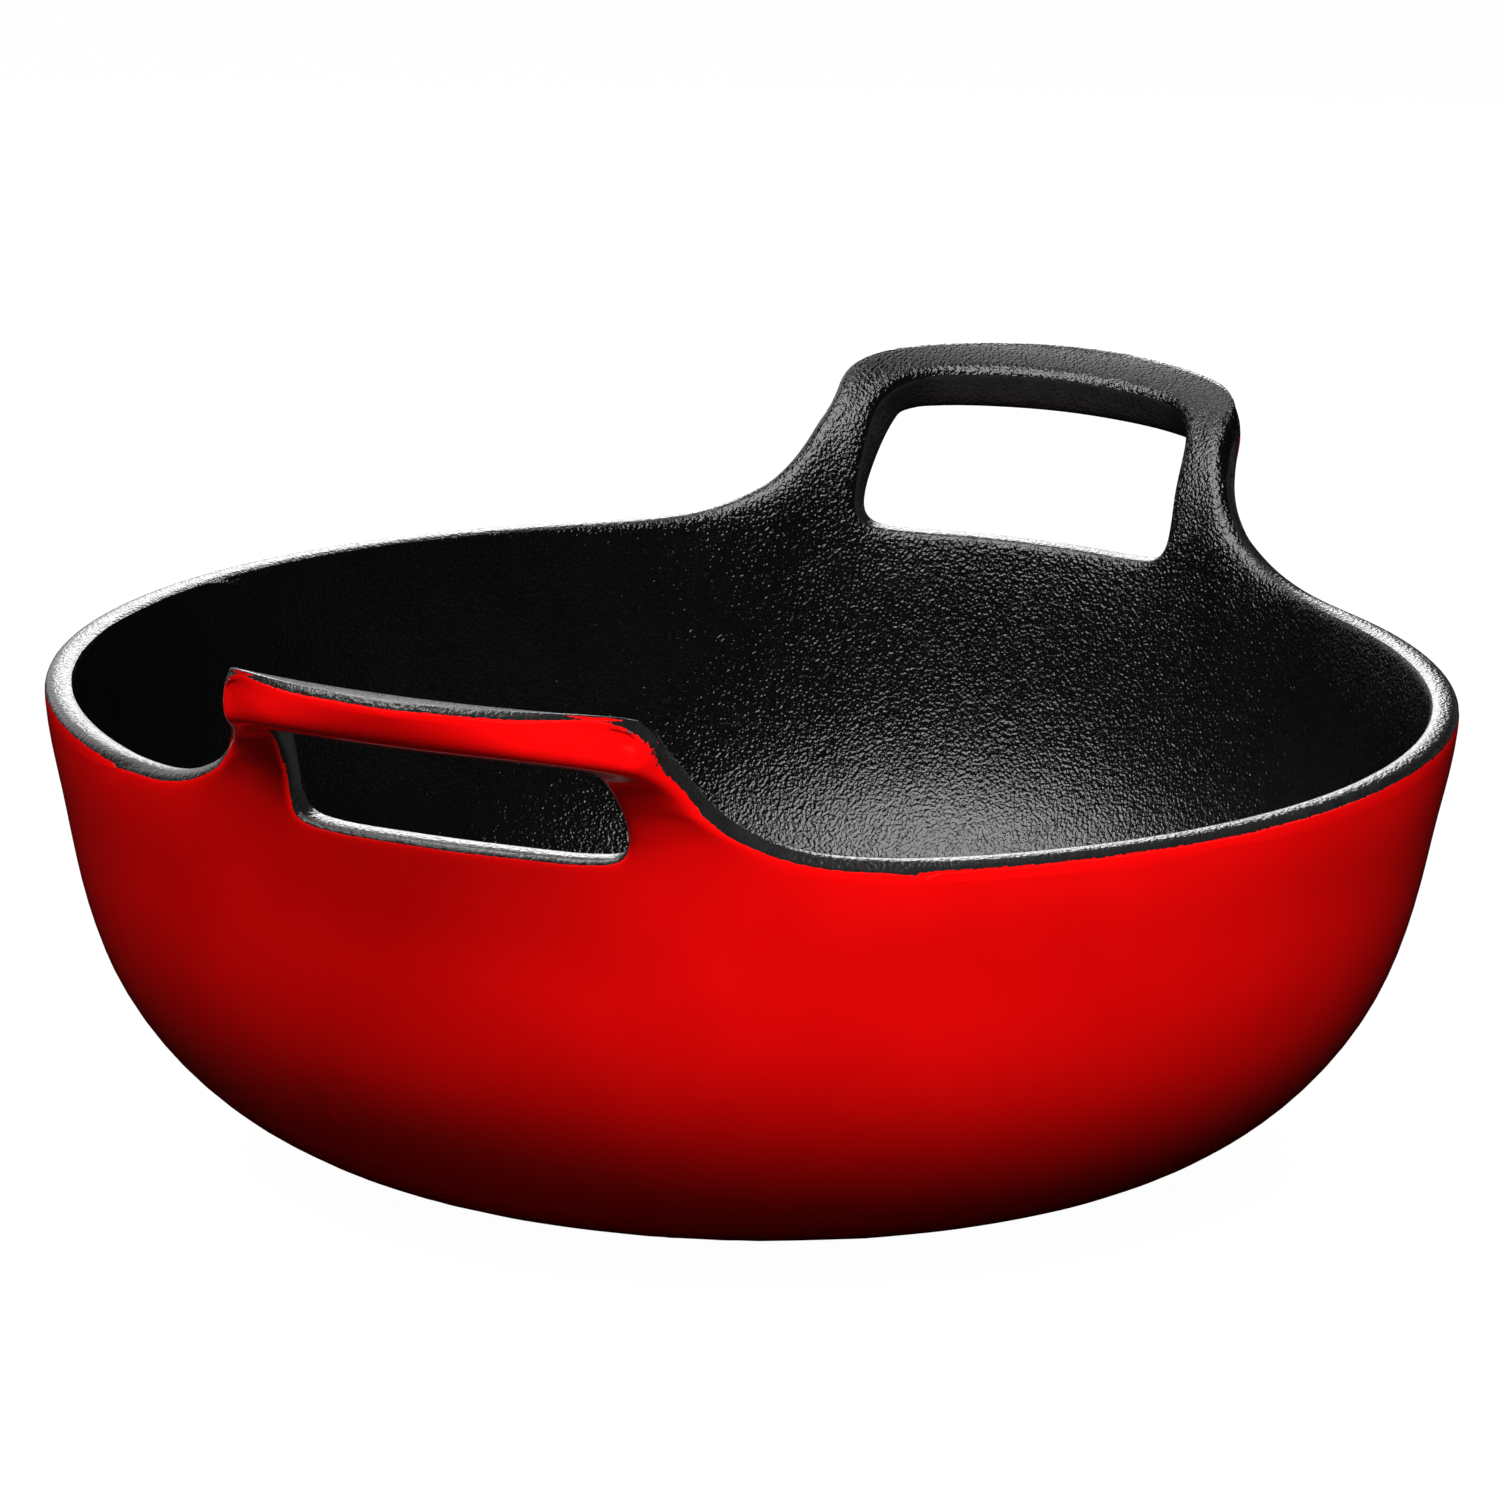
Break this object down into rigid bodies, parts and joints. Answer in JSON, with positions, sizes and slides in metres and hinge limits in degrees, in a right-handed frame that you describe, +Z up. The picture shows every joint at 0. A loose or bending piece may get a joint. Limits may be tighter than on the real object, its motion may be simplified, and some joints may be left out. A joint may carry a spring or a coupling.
{
  "type": "enamelled cast iron casserole",
  "caption": "Open round cast iron casserole, red gloss enamel outside and matt black enamel inside, with raised loop handles that grow out of the rim as part of the casting.",
  "frame": {"origin": "on the table under the middle of the bowl, at the centre of the foot ring", "axes": "+X along the line through the handles, +Z up, +Y to the bowl's free side"},
  "size_m": [0.3146, 0.2592, 0.1205],
  "materials": {
    "cast_iron": "bare, ground smooth where the foot ring stands",
    "outer_enamel": "gloss vitreous enamel, red, with a slight orange peel",
    "inner_enamel": "matt black vitreous enamel with a coarse pebbled grain",
    "base_enamel": "satin black vitreous enamel",
    "ground_coat": "fine-grained grey-black ground coat with a low sheen"
  },
  "bodies": {
    "root": {"casting": "cast_iron", "outer_enamel": "outer_enamel", "inner_enamel": "inner_enamel", "base_enamel": "base_enamel", "rim_ground_coat": "ground_coat", "front_slot_ground_coat": "ground_coat", "rear_slot_ground_coat": "ground_coat"}
  },
  "joints": []
}
